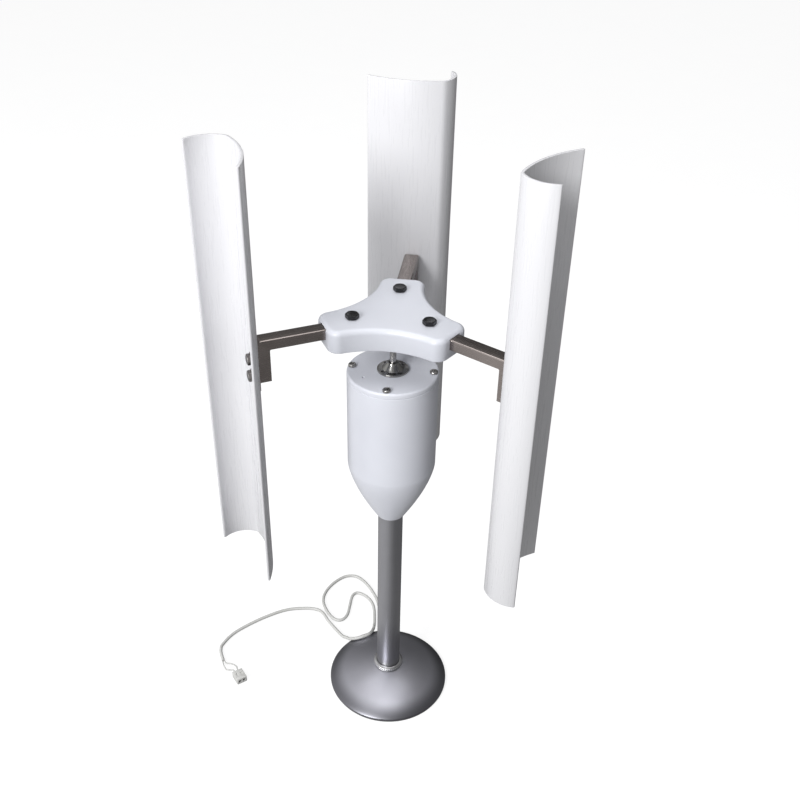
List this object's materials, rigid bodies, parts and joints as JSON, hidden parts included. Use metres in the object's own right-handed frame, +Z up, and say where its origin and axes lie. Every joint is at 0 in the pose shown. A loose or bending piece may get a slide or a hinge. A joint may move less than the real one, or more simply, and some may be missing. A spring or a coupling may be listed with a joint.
{
  "type": "vertical axis wind turbine",
  "caption": "Vertical axis wind turbine: J-section blades on folded arms round a lobed hub, above a bullet-shaped generator housing on a tube and round base, with an output cable.",
  "frame": {"origin": "centre of the foot pad's underside, on the rotor's axis", "axes": "+Z up along the rotor's axis; the cable leaves the base towards +Y; at rest one arm points 82.3 degrees round from +X towards +Y"},
  "size_m": [0.3396, 0.2866, 0.638],
  "materials": {
    "white_plastic": "satin white",
    "satin_steel": "satin grey",
    "polished_steel": "polished",
    "bright_steel": "bright",
    "black_oxide_steel": "black oxide",
    "brass": "machined",
    "black_rubber": "matt",
    "cast_aluminium": "as cast",
    "lamination_steel": "dull dark grey",
    "enamelled_copper": "glossy enamel",
    "ferrite_magnet": "matt dark grey"
  },
  "bodies": {
    "stand": {"base_dome": "satin_steel", "foot_pad": "black_rubber", "ballast_disc": "lamination_steel", "threaded_nipple": "brass", "base_lock_nut": "lamination_steel", "tube_plug": "brass", "base_collar": "polished_steel", "stand_tube": "satin_steel", "housing_shell": "white_plastic", "housing_cover": "white_plastic", "cover_screw_1": "bright_steel", "cover_screw_2": "bright_steel", "cover_screw_3": "bright_steel", "cover_screw_4": "bright_steel", "bearing_flange": "polished_steel", "upper_bearing_outer_race": "polished_steel", "lower_bearing_outer_race": "polished_steel", "stator_core": "lamination_steel", "phase_coil_1": "enamelled_copper", "phase_coil_2": "enamelled_copper", "phase_coil_3": "enamelled_copper", "bearing_bracket": "cast_aluminium", "output_cable": "white_plastic", "cable_grommet": "black_rubber", "cable_plug": "white_plastic", "cable_lead_1": "white_plastic", "cable_lead_2": "white_plastic"},
    "rotor": {"hub": "white_plastic", "blade_1": "white_plastic", "blade_2": "white_plastic", "blade_3": "white_plastic", "arm_1": "polished_steel", "arm_2": "polished_steel", "arm_3": "polished_steel", "lower_bearing_inner_race": "polished_steel", "upper_bearing_inner_race": "polished_steel", "main_shaft": "bright_steel", "rotor_core": "bright_steel", "shaft_bush": "bright_steel", "upper_blade_bolt_1": "bright_steel", "upper_blade_bolt_2": "bright_steel", "upper_blade_bolt_3": "bright_steel", "upper_blade_nut_1": "bright_steel", "upper_blade_nut_2": "bright_steel", "upper_blade_nut_3": "bright_steel", "lower_blade_bolt_1": "bright_steel", "lower_blade_bolt_2": "bright_steel", "lower_blade_bolt_3": "bright_steel", "lower_blade_nut_1": "bright_steel", "lower_blade_nut_2": "bright_steel", "lower_blade_nut_3": "bright_steel", "hub_bolt_1": "black_oxide_steel", "hub_bolt_2": "black_oxide_steel", "hub_bolt_3": "black_oxide_steel", "hub_nut_1": "black_oxide_steel", "hub_nut_2": "black_oxide_steel", "hub_nut_3": "black_oxide_steel", "grub_screw": "black_oxide_steel", "ring_magnet": "ferrite_magnet"}
  },
  "joints": [
    {"name": "rotor_spin", "type": "hinge", "parent": "stand", "child": "rotor", "pos_m": [0, 0, 0.4], "axis": [0, 0, 1], "continuous": true}
  ]
}
